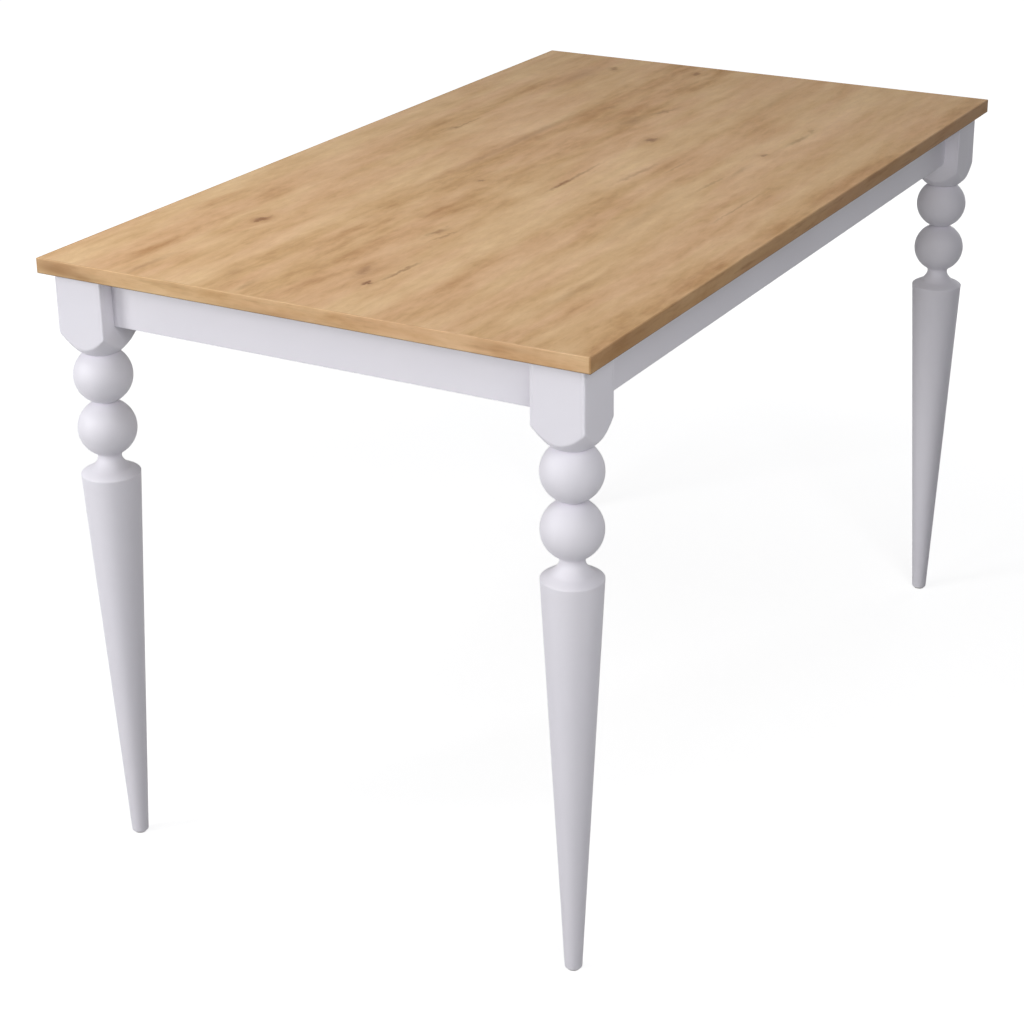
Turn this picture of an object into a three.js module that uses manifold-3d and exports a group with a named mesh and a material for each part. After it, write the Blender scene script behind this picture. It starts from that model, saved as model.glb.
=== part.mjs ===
// A rectangular dining table: a banded board top on four turned legs, with aprons between the legs.
// Each leg is pulled into its corner by a hanger bolt through a pressed steel bracket.
// Millimetres, +Z up. The origin is on the floor below the middle of the top, and +X runs along the top.
import * as THREE from 'three';
import { mergeVertices } from 'three/addons/utils/BufferGeometryUtils.js';
import Module from 'manifold-3d';

const wasm = await Module();
wasm.setup();

// Whole table
const TABLE_LENGTH = 1200;
const TABLE_WIDTH = 700;
const TABLE_HEIGHT = 750;

// Clearances: around what fills a bore or a kerf, and between the end of an apron and its leg
const FIT_GAP = 0.3;
const JOINT_GAP = 0.3;
const CUT_OVERRUN = 5;
const SAME_POINT = 0.0001;

// Top: a board with a band glued on each edge
const TOP_THICKNESS = 18;
const BAND_THICKNESS = 2;
const BAND_ARRIS = 1;

// Leg, from the top down: square block, turned shoulder, two balls, neck, cove, ovolo, taper, foot
const BLOCK_INSET = 13;
const BLOCK_SIDE = 64;
const BLOCK_LENGTH = 71;
const BLOCK_ARRIS = 2;
const CORNER_CHAMFER = 12;
const SHOULDER_DROP = 27.8;
const SHOULDER_NECK_RADIUS = 19.3;
const BALL_RADIUS = 34.6;
const BALL_NECK_RADIUS = 13.4;
const LOWER_NECK_RADIUS = 14;
const COVE_DROP = 14;
const COVE_LIP_RADIUS = 20;
const OVOLO_DROP = 10;
const RIM_RADIUS = 34.6;
const FOOT_RADIUS = 10.1;
const FOOT_ARRIS = 2.5;

// How far along its two straight tangents each turned curve is pulled
const SHOULDER_PULL_RADIUS_SHARE = 0.45;
const SHOULDER_PULL_HEIGHT_SHARE = 0.18;
const COVE_PULL_HEIGHT_SHARE = 0.12;
const OVOLO_PULL_RADIUS_SHARE = 0.8;
const OVOLO_PULL_HEIGHT_SHARE = 0.78;

// Glide nailed under each foot
const GLIDE_THICKNESS = 2;
const GLIDE_RADIUS = 7.4;
const GLIDE_ARRIS = 0.8;
const NAIL_RADIUS = 1;
const NAIL_LENGTH = 12;

// Aprons
const APRON_THICKNESS = 18;
const APRON_HEIGHT = 61;
const APRON_SETBACK = 20;

// Corner bracket: a web across the corner, a flange along each apron, and a lip in each kerf
const SHEET_THICKNESS = 2;
const BRACKET_HEIGHT = 44;
const BRACKET_END_HEIGHT = 32;
const BRACKET_STAND_OFF = 8.5;
const FLANGE_LENGTH = 34;
const LIP_DEPTH = 8;
const BEND_RADIUS = 2;
const KERF_SPARE_DEPTH = 1;

// Hanger bolt with its washer and nut
const BOLT_RADIUS = 4;
const BOLT_LENGTH = 80;
const BOLT_TIP_LENGTH = 9;
const BOLT_TIP_RADIUS = 0.8;
const BOLT_END_CHAMFER = 1;
const BOLT_BEYOND_NUT = 6;
const WASHER_RADIUS = 8.5;
const WASHER_THICKNESS = 1.6;
const NUT_ACROSS_FLATS = 13;
const NUT_THICKNESS = 6.5;

// Wood screws with domed heads
const SCREW_RADIUS = 1.8;
const SCREW_LENGTH = 14;
const SCREW_TIP_LENGTH = 4;
const SCREW_HEAD_RADIUS = 3.8;
const SCREW_HEAD_HEIGHT = 2.2;

// Angle brackets that hold the top down on the aprons
const ANGLE_LEG = 25;
const ANGLE_WIDTH = 18;
const ANGLE_HOLE_OFFSET = 15;
const ANGLE_PLACE_SHARE = 0.5;

// Facets
const LEG_SEGMENTS = 24;
const ROD_SEGMENTS = 12;
const SCREW_SEGMENTS = 10;
const BALL_STEPS = 10;
const CURVE_STEPS = 4;
const ARRIS_STEPS = 2;

// Heights and places that the sizes above give
const UNDERSIDE = TABLE_HEIGHT - TOP_THICKNESS;
const APRON_BOTTOM = UNDERSIDE - APRON_HEIGHT;
const FIXING_HEIGHT = (UNDERSIDE + APRON_BOTTOM) / 2;
const BLOCK_BOTTOM = UNDERSIDE - BLOCK_LENGTH;
const SHOULDER_BOTTOM = BLOCK_BOTTOM - SHOULDER_DROP;
const HALF_BLOCK = BLOCK_SIDE / 2;
const LEG_X = TABLE_LENGTH / 2 - BLOCK_INSET - HALF_BLOCK;
const LEG_Y = TABLE_WIDTH / 2 - BLOCK_INSET - HALF_BLOCK;
const APRON_FACE = APRON_SETBACK + APRON_THICKNESS - HALF_BLOCK;
const CHAMFER_FACE = (BLOCK_SIDE - CORNER_CHAMFER) / Math.SQRT2;
const WEB_FACE = CHAMFER_FACE + BRACKET_STAND_OFF;
const WEB_CREASE = WEB_FACE * Math.SQRT2 - APRON_FACE;
const FLANGE_END = WEB_CREASE + FLANGE_LENGTH;
const FLANGE_SCREW = WEB_CREASE + FLANGE_LENGTH / 2;
const BORE_RADIUS = SCREW_RADIUS + FIT_GAP;
const BOLT_BORE_RADIUS = BOLT_RADIUS + FIT_GAP;

// Distances from the leg's axis along the diagonal into the table
const WASHER_START = WEB_FACE + SHEET_THICKNESS + FIT_GAP;
const NUT_START = WASHER_START + WASHER_THICKNESS + FIT_GAP;
const BOLT_END = NUT_START + NUT_THICKNESS + BOLT_BEYOND_NUT;
const BOLT_START = BOLT_END - BOLT_LENGTH;

// Directions
const UP = new THREE.Vector3(0, 0, 1);
const DOWN = new THREE.Vector3(0, 0, -1);
const MINUS_X = new THREE.Vector3(-1, 0, 0);
const MINUS_Y = new THREE.Vector3(0, -1, 0);
const DIAGONAL = new THREE.Vector3(1, 1, 0).normalize();

const FINISHES = {
  oak_decor: { color: 0xc9a67c, roughness: 0.55, metalness: 0 },
  oak_band: { color: 0xc09a6c, roughness: 0.5, metalness: 0 },
  white_paint: { color: 0xe4e2e8, roughness: 0.45, metalness: 0 },
  zinc: { color: 0xb9bcc0, roughness: 0.35, metalness: 1 },
  glide_plastic: { color: 0xd9d8d6, roughness: 0.6, metalness: 0 },
};

function point(x, y) {
  return new THREE.Vector2(x, y);
}

function piece(name, geometry, finish, group) {
  const mesh = new THREE.Mesh(geometry, new THREE.MeshStandardMaterial(FINISHES[finish]));
  mesh.name = name;
  group.add(mesh);
  return mesh;
}

function distinct(points) {
  return points.filter((at, i) => i === 0 || at.distanceTo(points[i - 1]) > SAME_POINT);
}

// A box between two exact corners
function slab(low, high) {
  const geometry = new THREE.BoxGeometry();
  const corners = geometry.attributes.position;
  for (let i = 0; i < corners.count; i++) {
    corners.setX(i, corners.getX(i) < 0 ? low.x : high.x);
    corners.setY(i, corners.getY(i) < 0 ? low.y : high.y);
    corners.setZ(i, corners.getZ(i) < 0 ? low.z : high.z);
  }
  return geometry;
}

// An outline with its marked corners rounded: each entry is a corner and its radius
function roundedOutline(corners) {
  const shape = new THREE.Shape();
  corners.forEach(([corner, radius], i) => {
    const [before] = corners[(i + corners.length - 1) % corners.length];
    const [after] = corners[(i + 1) % corners.length];
    const entry = corner.clone().add(before.clone().sub(corner).setLength(radius));
    const exit = corner.clone().add(after.clone().sub(corner).setLength(radius));
    if (i === 0) {
      shape.moveTo(entry.x, entry.y);
    } else {
      shape.lineTo(entry.x, entry.y);
    }
    if (radius > 0) {
      shape.quadraticCurveTo(corner.x, corner.y, exit.x, exit.y);
    }
  });
  return shape;
}

// A shape drawn on the plan and raised between two exact heights
function raised(shape, low, high, steps = ARRIS_STEPS) {
  const settings = { depth: high - low, bevelEnabled: false, curveSegments: steps };
  const geometry = new THREE.ExtrudeGeometry(shape, settings);
  const corners = geometry.attributes.position;
  for (let i = 0; i < corners.count; i++) {
    corners.setZ(i, corners.getZ(i) < settings.depth / 2 ? low : high);
  }
  return geometry;
}

// A section drawn in Y and Z and run along X between two exact ends
function runAlongX(shape, low, high) {
  const geometry = raised(shape, low, high);
  geometry.rotateZ(Math.PI / 2);
  geometry.rotateY(Math.PI / 2);
  return geometry;
}

function turned(profile, segments) {
  const geometry = new THREE.LatheGeometry(distinct(profile), segments);
  geometry.rotateX(Math.PI / 2);
  return geometry;
}

function rod(radius, start, end) {
  const run = end.clone().sub(start);
  const geometry = new THREE.CylinderGeometry(radius, radius, run.length(), ROD_SEGMENTS);
  const along = new THREE.Vector3(0, 1, 0);
  geometry.applyQuaternion(new THREE.Quaternion().setFromUnitVectors(along, run.normalize()));
  const middle = start.clone().add(end).multiplyScalar(1 / 2);
  geometry.translate(middle.x, middle.y, middle.z);
  return geometry;
}

function solid(geometry) {
  const plain = geometry.clone();
  plain.deleteAttribute('normal');
  plain.deleteAttribute('uv');
  const merged = mergeVertices(plain, SAME_POINT);
  return new wasm.Manifold(new wasm.Mesh({
    numProp: 3,
    vertProperties: new Float32Array(merged.attributes.position.array),
    triVerts: new Uint32Array(merged.index.array),
  }));
}

function geometryOf(body) {
  const mesh = body.getMesh();
  const geometry = new THREE.BufferGeometry();
  geometry.setAttribute('position', new THREE.BufferAttribute(new Float32Array(mesh.vertProperties), 3));
  geometry.setIndex(new THREE.BufferAttribute(new Uint32Array(mesh.triVerts), 1));
  geometry.computeVertexNormals();
  return geometry;
}

function cut(geometry, cutters) {
  const left = cutters.reduce((body, cutter) => body.subtract(solid(cutter)), solid(geometry));
  return geometryOf(left);
}

// The corner frames: +X and +Y point from the leg's axis into the table, along the two aprons.
// Each is a quarter turn on from the last, and so are the frames of the four sides.
const CORNERS = [
  { name: 'front_left', x: -LEG_X, y: -LEG_Y },
  { name: 'front_right', x: LEG_X, y: -LEG_Y },
  { name: 'back_right', x: LEG_X, y: LEG_Y },
  { name: 'back_left', x: -LEG_X, y: LEG_Y },
];
const LONG_SIDE = { legReach: LEG_X, depth: LEG_Y, bandReach: TABLE_LENGTH / 2, edge: TABLE_WIDTH / 2 };
const SHORT_SIDE = {
  legReach: LEG_Y,
  depth: LEG_X,
  bandReach: TABLE_WIDTH / 2 - BAND_THICKNESS,
  edge: TABLE_LENGTH / 2,
};
const SIDES = [
  { name: 'front', ...LONG_SIDE, fixings: [-LEG_X * ANGLE_PLACE_SHARE, LEG_X * ANGLE_PLACE_SHARE] },
  { name: 'right', ...SHORT_SIDE, fixings: [0] },
  { name: 'back', ...LONG_SIDE, fixings: [-LEG_X * ANGLE_PLACE_SHARE, LEG_X * ANGLE_PLACE_SHARE] },
  { name: 'left', ...SHORT_SIDE, fixings: [0] },
];

// Wood screw along Z, its head above the origin and its point below
function screwGeometry() {
  return turned([
    point(0, -SCREW_LENGTH),
    point(SCREW_RADIUS, SCREW_TIP_LENGTH - SCREW_LENGTH),
    point(SCREW_RADIUS, 0),
    point(SCREW_HEAD_RADIUS, 0),
    ...new THREE.QuadraticBezierCurve(
      point(SCREW_HEAD_RADIUS, 0),
      point(SCREW_HEAD_RADIUS, SCREW_HEAD_HEIGHT),
      point(0, SCREW_HEAD_HEIGHT),
    ).getPoints(ARRIS_STEPS),
  ], SCREW_SEGMENTS);
}

// A screw whose head rests at a place on a sheet and whose point goes along a direction
function addScrew(name, place, direction, group) {
  const screw = piece(name, screwGeometry(), 'zinc', group);
  screw.position.copy(place).addScaledVector(direction, -FIT_GAP);
  screw.quaternion.setFromUnitVectors(DOWN, direction);
}

// The bore for that screw, from the face that it enters
function screwBore(face, direction) {
  const mouth = face.clone().addScaledVector(direction, -CUT_OVERRUN);
  const bottom = face.clone().addScaledVector(direction, SCREW_LENGTH - SHEET_THICKNESS - FIT_GAP);
  return rod(BORE_RADIUS, mouth, bottom);
}

// The hole for that screw through a sheet
function sheetHole(place, direction) {
  const near = place.clone().addScaledVector(direction, -CUT_OVERRUN);
  const far = place.clone().addScaledVector(direction, CUT_OVERRUN);
  return rod(BORE_RADIUS, near, far);
}

// The turned outline of a leg, from the nail bore up its foot to the top of the block
function legProfile() {
  const upperRise = Math.sqrt(BALL_RADIUS ** 2 - SHOULDER_NECK_RADIUS ** 2);
  const middleRise = Math.sqrt(BALL_RADIUS ** 2 - BALL_NECK_RADIUS ** 2);
  const lowerDrop = Math.sqrt(BALL_RADIUS ** 2 - LOWER_NECK_RADIUS ** 2);
  const upperBall = SHOULDER_BOTTOM - upperRise;
  const lowerBall = upperBall - 2 * middleRise;
  const neckTop = lowerBall - lowerDrop;
  const coveLip = neckTop - COVE_DROP;
  const rim = coveLip - OVOLO_DROP;
  const foot = GLIDE_THICKNESS;
  const nailBore = NAIL_RADIUS + FIT_GAP;
  const boreTop = foot + NAIL_LENGTH + FIT_GAP;
  const corner = HALF_BLOCK * Math.SQRT2;
  const ovolo = new THREE.QuadraticBezierCurve(
    point(RIM_RADIUS, rim),
    point(
      COVE_LIP_RADIUS + (RIM_RADIUS - COVE_LIP_RADIUS) * OVOLO_PULL_RADIUS_SHARE,
      rim + OVOLO_DROP * OVOLO_PULL_HEIGHT_SHARE,
    ),
    point(COVE_LIP_RADIUS, coveLip),
  );
  const cove = new THREE.QuadraticBezierCurve(
    point(COVE_LIP_RADIUS, coveLip),
    point(LOWER_NECK_RADIUS, coveLip + COVE_DROP * COVE_PULL_HEIGHT_SHARE),
    point(LOWER_NECK_RADIUS, neckTop),
  );
  const shoulder = new THREE.QuadraticBezierCurve(
    point(SHOULDER_NECK_RADIUS, SHOULDER_BOTTOM),
    point(
      SHOULDER_NECK_RADIUS + (corner - SHOULDER_NECK_RADIUS) * SHOULDER_PULL_RADIUS_SHARE,
      SHOULDER_BOTTOM + SHOULDER_DROP * SHOULDER_PULL_HEIGHT_SHARE,
    ),
    point(corner, BLOCK_BOTTOM),
  );
  return [
    point(0, boreTop),
    point(nailBore, boreTop),
    point(nailBore, foot),
    ...new THREE.EllipseCurve(
      FOOT_RADIUS - FOOT_ARRIS, foot + FOOT_ARRIS, FOOT_ARRIS, FOOT_ARRIS, -Math.PI / 2, 0,
    ).getPoints(ARRIS_STEPS),
    ...ovolo.getPoints(CURVE_STEPS),
    ...cove.getPoints(CURVE_STEPS),
    ...ballArc(lowerBall, -lowerDrop, LOWER_NECK_RADIUS, middleRise, BALL_NECK_RADIUS),
    ...ballArc(upperBall, -middleRise, BALL_NECK_RADIUS, upperRise, SHOULDER_NECK_RADIUS),
    ...shoulder.getPoints(CURVE_STEPS),
    point(corner + CUT_OVERRUN, BLOCK_BOTTOM + CUT_OVERRUN),
    point(corner + CUT_OVERRUN, UNDERSIDE),
    point(0, UNDERSIDE),
  ];
}

// The part of a ball's outline between the necks below and above it
function ballArc(height, lowRise, lowRadius, highRise, highRadius) {
  const start = Math.atan2(lowRise, lowRadius);
  const end = Math.atan2(highRise, highRadius);
  return new THREE.EllipseCurve(0, height, BALL_RADIUS, BALL_RADIUS, start, end).getPoints(BALL_STEPS);
}

// What is sawn off the turned blank to leave its square block
function blockOffcut() {
  const outside = BLOCK_SIDE + CUT_OVERRUN;
  const square = (half, radius) => roundedOutline([
    [point(-half, -half), radius],
    [point(half, -half), radius],
    [point(half, half), radius],
    [point(-half, half), radius],
  ]);
  const frame = square(outside, 0);
  frame.holes.push(square(HALF_BLOCK, BLOCK_ARRIS));
  return raised(frame, SHOULDER_BOTTOM, UNDERSIDE + CUT_OVERRUN, ARRIS_STEPS);
}

// What is sawn off the block's inner corner, behind the aprons
function cornerOffcut() {
  const geometry = slab(
    new THREE.Vector3(CHAMFER_FACE, -BLOCK_SIDE, APRON_BOTTOM),
    new THREE.Vector3(CHAMFER_FACE + BLOCK_SIDE, BLOCK_SIDE, UNDERSIDE + CUT_OVERRUN),
  );
  geometry.rotateZ(Math.PI / 4);
  return geometry;
}

function onDiagonal(distance) {
  return DIAGONAL.clone().multiplyScalar(distance).setZ(FIXING_HEIGHT);
}

function legGeometry() {
  const boltBore = rod(BOLT_BORE_RADIUS, onDiagonal(BOLT_START - FIT_GAP), onDiagonal(WEB_FACE));
  return cut(turned(legProfile(), LEG_SEGMENTS), [blockOffcut(), cornerOffcut(), boltBore]);
}

function glideGeometry() {
  const nailTop = GLIDE_THICKNESS + NAIL_LENGTH;
  return turned([
    point(0, 0),
    ...new THREE.EllipseCurve(
      GLIDE_RADIUS - GLIDE_ARRIS, GLIDE_ARRIS, GLIDE_ARRIS, GLIDE_ARRIS, -Math.PI / 2, 0,
    ).getPoints(ARRIS_STEPS),
    point(GLIDE_RADIUS, GLIDE_THICKNESS),
    point(NAIL_RADIUS, GLIDE_THICKNESS),
    point(NAIL_RADIUS, nailTop),
    point(0, nailTop),
  ], ROD_SEGMENTS);
}

// The bent sheet on plan, cut to its tapered elevation and bored for the bolt and two screws
function cornerBracketGeometry() {
  const near = APRON_FACE + FIT_GAP;
  const far = near + SHEET_THICKNESS;
  const lip = APRON_FACE - LIP_DEPTH;
  const outerCrease = WEB_FACE * Math.SQRT2 - near;
  const innerCrease = (WEB_FACE + SHEET_THICKNESS) * Math.SQRT2 - far;
  const half = [
    [point(FLANGE_END - SHEET_THICKNESS, lip), 0],
    [point(FLANGE_END, lip), 0],
    [point(FLANGE_END, far), BEND_RADIUS],
    [point(innerCrease, far), BEND_RADIUS],
  ];
  const legSide = [
    [point(near, FLANGE_END - SHEET_THICKNESS), 0],
    [point(near, outerCrease), BEND_RADIUS],
    [point(outerCrease, near), BEND_RADIUS],
    [point(FLANGE_END - SHEET_THICKNESS, near), 0],
  ];
  const mirrored = half.map(([corner, radius]) => [point(corner.y, corner.x), radius]).reverse();
  const plan = roundedOutline([...half, ...mirrored, ...legSide]);
  const halfHeight = BRACKET_HEIGHT / 2;
  const sheet = solid(raised(plan, FIXING_HEIGHT - halfHeight, FIXING_HEIGHT + halfHeight));
  const webEnd = WEB_FACE + SHEET_THICKNESS;
  const reach = (FLANGE_END + far) / Math.SQRT2;
  const elevation = new THREE.Shape([
    point(0, -halfHeight),
    point(webEnd, -halfHeight),
    point(reach, -BRACKET_END_HEIGHT / 2),
    point(reach, BRACKET_END_HEIGHT / 2),
    point(webEnd, halfHeight),
    point(0, halfHeight),
  ]);
  const taper = raised(elevation, -FLANGE_END, FLANGE_END);
  taper.rotateX(Math.PI / 2);
  taper.rotateZ(Math.PI / 4);
  taper.translate(0, 0, FIXING_HEIGHT);
  const blank = geometryOf(sheet.intersect(solid(taper)));
  return cut(blank, [
    rod(BOLT_BORE_RADIUS, onDiagonal(CHAMFER_FACE), onDiagonal(WASHER_START + CUT_OVERRUN)),
    sheetHole(new THREE.Vector3(FLANGE_SCREW, near, FIXING_HEIGHT), MINUS_Y),
    sheetHole(new THREE.Vector3(near, FLANGE_SCREW, FIXING_HEIGHT), MINUS_X),
  ]);
}

function boltGeometry() {
  return turned([
    point(0, 0),
    point(BOLT_TIP_RADIUS, 0),
    point(BOLT_RADIUS, BOLT_TIP_LENGTH),
    point(BOLT_RADIUS, BOLT_LENGTH - BOLT_END_CHAMFER),
    point(BOLT_RADIUS - BOLT_END_CHAMFER, BOLT_LENGTH),
    point(0, BOLT_LENGTH),
  ], ROD_SEGMENTS);
}

function washerGeometry() {
  return turned([
    point(BOLT_BORE_RADIUS, 0),
    point(WASHER_RADIUS, 0),
    point(WASHER_RADIUS, WASHER_THICKNESS),
    point(BOLT_BORE_RADIUS, WASHER_THICKNESS),
    point(BOLT_BORE_RADIUS, 0),
  ], ROD_SEGMENTS);
}

function nutGeometry() {
  const cornerRadius = NUT_ACROSS_FLATS / Math.sqrt(3);
  const corners = [];
  for (let i = 0; i < 6; i++) {
    const turn = i * Math.PI / 3;
    corners.push(point(cornerRadius * Math.cos(turn), cornerRadius * Math.sin(turn)));
  }
  const hexagon = new THREE.Shape(corners);
  const hole = new THREE.Path();
  hole.absarc(0, 0, BOLT_BORE_RADIUS, 0, 2 * Math.PI, true);
  hexagon.holes.push(hole);
  return raised(hexagon, 0, NUT_THICKNESS, ROD_SEGMENTS / 2);
}

// A piece turned about Z, laid along the diagonal from a distance outwards
function addOnDiagonal(name, geometry, distance, group) {
  const mesh = piece(name, geometry, 'zinc', group);
  mesh.position.copy(onDiagonal(distance));
  mesh.quaternion.setFromUnitVectors(UP, DIAGONAL);
}

function addCorner(corner, turns, table) {
  const group = new THREE.Group();
  group.position.set(corner.x, corner.y, 0);
  group.rotation.z = turns * Math.PI / 2;
  table.add(group);
  piece(`leg_${corner.name}`, legGeometry(), 'white_paint', group);
  piece(`foot_glide_${corner.name}`, glideGeometry(), 'glide_plastic', group);
  piece(`corner_bracket_${corner.name}`, cornerBracketGeometry(), 'zinc', group);
  addOnDiagonal(`hanger_bolt_${corner.name}`, boltGeometry(), BOLT_START, group);
  addOnDiagonal(`washer_${corner.name}`, washerGeometry(), WASHER_START, group);
  addOnDiagonal(`nut_${corner.name}`, nutGeometry(), NUT_START, group);
  const head = APRON_FACE + FIT_GAP + SHEET_THICKNESS;
  const onX = new THREE.Vector3(FLANGE_SCREW, head, FIXING_HEIGHT);
  const onY = new THREE.Vector3(head, FLANGE_SCREW, FIXING_HEIGHT);
  addScrew(`bracket_screw_${corner.name}_1`, onX, MINUS_Y, group);
  addScrew(`bracket_screw_${corner.name}_2`, onY, MINUS_X, group);
}

// An apron on plan, with the two kerfs for the bracket lips; its inner face is on the X axis
function apronGeometry(side) {
  const end = side.legReach - HALF_BLOCK - JOINT_GAP;
  const kerfDepth = LIP_DEPTH + KERF_SPARE_DEPTH;
  const kerfNear = side.legReach - FLANGE_END - FIT_GAP;
  const kerfFar = kerfNear + SHEET_THICKNESS + 2 * FIT_GAP;
  const plan = new THREE.Shape([
    point(-end, -APRON_THICKNESS),
    point(end, -APRON_THICKNESS),
    point(end, 0),
    point(kerfFar, 0),
    point(kerfFar, -kerfDepth),
    point(kerfNear, -kerfDepth),
    point(kerfNear, 0),
    point(-kerfNear, 0),
    point(-kerfNear, -kerfDepth),
    point(-kerfFar, -kerfDepth),
    point(-kerfFar, 0),
    point(-end, 0),
  ]);
  const bracketScrew = side.legReach - FLANGE_SCREW;
  const bores = [-bracketScrew, bracketScrew].map((x) => new THREE.Vector3(x, 0, FIXING_HEIGHT));
  for (const x of side.fixings) {
    bores.push(new THREE.Vector3(x, 0, UNDERSIDE - ANGLE_HOLE_OFFSET));
  }
  return cut(raised(plan, APRON_BOTTOM, UNDERSIDE), bores.map((face) => screwBore(face, MINUS_Y)));
}

// An angle bracket in the corner between an apron's inner face and the underside of the top
function angleBracketGeometry() {
  const inner = FIT_GAP + SHEET_THICKNESS;
  const section = roundedOutline([
    [point(FIT_GAP, -FIT_GAP), BEND_RADIUS],
    [point(FIT_GAP, -ANGLE_LEG), 0],
    [point(inner, -ANGLE_LEG), 0],
    [point(inner, -inner), BEND_RADIUS / 2],
    [point(ANGLE_LEG, -inner), 0],
    [point(ANGLE_LEG, -FIT_GAP), 0],
  ]);
  const geometry = runAlongX(section, -ANGLE_WIDTH / 2, ANGLE_WIDTH / 2);
  return cut(geometry, [
    sheetHole(new THREE.Vector3(0, 0, -ANGLE_HOLE_OFFSET), MINUS_Y),
    sheetHole(new THREE.Vector3(0, ANGLE_HOLE_OFFSET, 0), UP),
  ]);
}

function addSide(side, turns, table) {
  const turn = turns * Math.PI / 2;
  const outward = new THREE.Vector3(Math.sin(turn), -Math.cos(turn), 0);

  // The band's frame has its X axis along the edge of the board
  const bandGroup = new THREE.Group();
  bandGroup.position.copy(outward).multiplyScalar(side.edge - BAND_THICKNESS);
  bandGroup.rotation.z = turn;
  table.add(bandGroup);
  const section = roundedOutline([
    [point(0, UNDERSIDE), 0],
    [point(0, TABLE_HEIGHT), 0],
    [point(-BAND_THICKNESS, TABLE_HEIGHT), BAND_ARRIS],
    [point(-BAND_THICKNESS, UNDERSIDE), BAND_ARRIS],
  ]);
  piece(`edge_band_${side.name}`, runAlongX(section, -side.bandReach, side.bandReach), 'oak_band', bandGroup);

  // The apron's frame has its X axis along the apron's inner face
  const apronGroup = new THREE.Group();
  apronGroup.position.copy(outward).multiplyScalar(side.depth - APRON_FACE);
  apronGroup.rotation.z = turn;
  table.add(apronGroup);
  piece(`apron_${side.name}`, apronGeometry(side), 'white_paint', apronGroup);

  side.fixings.forEach((x, i) => {
    const name = side.fixings.length > 1 ? `${side.name}_${i + 1}` : side.name;
    const bracket = piece(`top_bracket_${name}`, angleBracketGeometry(), 'zinc', apronGroup);
    bracket.position.set(x, 0, UNDERSIDE);
    const head = FIT_GAP + SHEET_THICKNESS;
    const below = new THREE.Vector3(x, ANGLE_HOLE_OFFSET, UNDERSIDE - head);
    const beside = new THREE.Vector3(x, head, UNDERSIDE - ANGLE_HOLE_OFFSET);
    addScrew(`top_screw_${name}`, below, UP, apronGroup);
    addScrew(`side_screw_${name}`, beside, MINUS_Y, apronGroup);
  });
}

// The board, bored from below for the screws of the angle brackets
function boardGeometry() {
  const x = TABLE_LENGTH / 2 - BAND_THICKNESS;
  const y = TABLE_WIDTH / 2 - BAND_THICKNESS;
  const bores = [];
  SIDES.forEach((side, turns) => {
    for (const fixing of side.fixings) {
      const face = new THREE.Vector3(fixing, ANGLE_HOLE_OFFSET - side.depth + APRON_FACE, UNDERSIDE);
      face.applyAxisAngle(UP, turns * Math.PI / 2);
      bores.push(screwBore(face, UP));
    }
  });
  return cut(slab(new THREE.Vector3(-x, -y, UNDERSIDE), new THREE.Vector3(x, y, TABLE_HEIGHT)), bores);
}

const table = new THREE.Group();
table.name = 'dining_table';
piece('top_board', boardGeometry(), 'oak_decor', table);
SIDES.forEach((side, turns) => addSide(side, turns, table));
CORNERS.forEach((corner, turns) => addCorner(corner, turns, table));

export default table;
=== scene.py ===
# %% [markdown]
# # A dining table on turned legs
# This lesson gives a measured table its looks: an oak-faced top with banded edges, low painted aprons, and
# four legs that run from a square block into balls and a long taper. The measured model comes in first and
# stays where it is. Everything below is made in metres in the same frame, with the floor at zero.
# %% Load the measured model
import math

import bmesh
import bpy
from mathutils import Matrix, Vector


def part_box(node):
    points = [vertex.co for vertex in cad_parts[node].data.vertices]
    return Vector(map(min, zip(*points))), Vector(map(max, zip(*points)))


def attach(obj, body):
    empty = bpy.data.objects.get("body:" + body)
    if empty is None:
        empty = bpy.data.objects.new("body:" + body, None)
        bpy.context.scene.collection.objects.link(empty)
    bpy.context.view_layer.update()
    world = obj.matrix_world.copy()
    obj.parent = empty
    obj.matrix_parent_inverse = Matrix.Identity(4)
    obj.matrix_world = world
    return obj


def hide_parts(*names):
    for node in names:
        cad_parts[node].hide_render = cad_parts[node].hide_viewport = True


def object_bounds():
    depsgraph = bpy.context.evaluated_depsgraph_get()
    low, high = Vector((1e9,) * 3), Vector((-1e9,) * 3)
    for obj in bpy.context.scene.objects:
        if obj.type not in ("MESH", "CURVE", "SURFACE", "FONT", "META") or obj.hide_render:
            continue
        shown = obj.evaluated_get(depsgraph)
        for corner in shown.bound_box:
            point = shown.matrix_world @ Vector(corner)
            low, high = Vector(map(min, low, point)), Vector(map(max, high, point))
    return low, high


MM = 0.001
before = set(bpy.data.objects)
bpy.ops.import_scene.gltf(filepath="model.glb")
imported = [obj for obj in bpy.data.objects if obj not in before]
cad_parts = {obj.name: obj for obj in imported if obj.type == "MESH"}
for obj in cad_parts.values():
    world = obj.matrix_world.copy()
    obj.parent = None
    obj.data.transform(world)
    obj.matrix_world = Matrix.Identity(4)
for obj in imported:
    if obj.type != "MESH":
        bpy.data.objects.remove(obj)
cad_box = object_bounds()
print("The measured table is", [round(size, 3) for size in cad_box[1] - cad_box[0]], "m")

# %% [markdown]
# ## Camera
# The photograph was taken from a standing height, from the corner where the left end meets the front side. A
# camera could be aimed with a Track To constraint, but this one has a little roll and its picture is cropped
# off centre. So its three axes are worked out from three angles and set as a matrix.
# %% Camera
CAMERA_PLACE = Vector((-2.456626, -1.328030, 1.515066))
CAMERA_YAW = math.radians(28.8756)
CAMERA_PITCH = math.radians(-21.323)
CAMERA_ROLL = math.radians(-0.3674)
SENSOR_WIDTH = 36
FOCAL_LENGTH = 80.2658
FRAME_SHIFT = (-0.037, -0.1)

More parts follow.
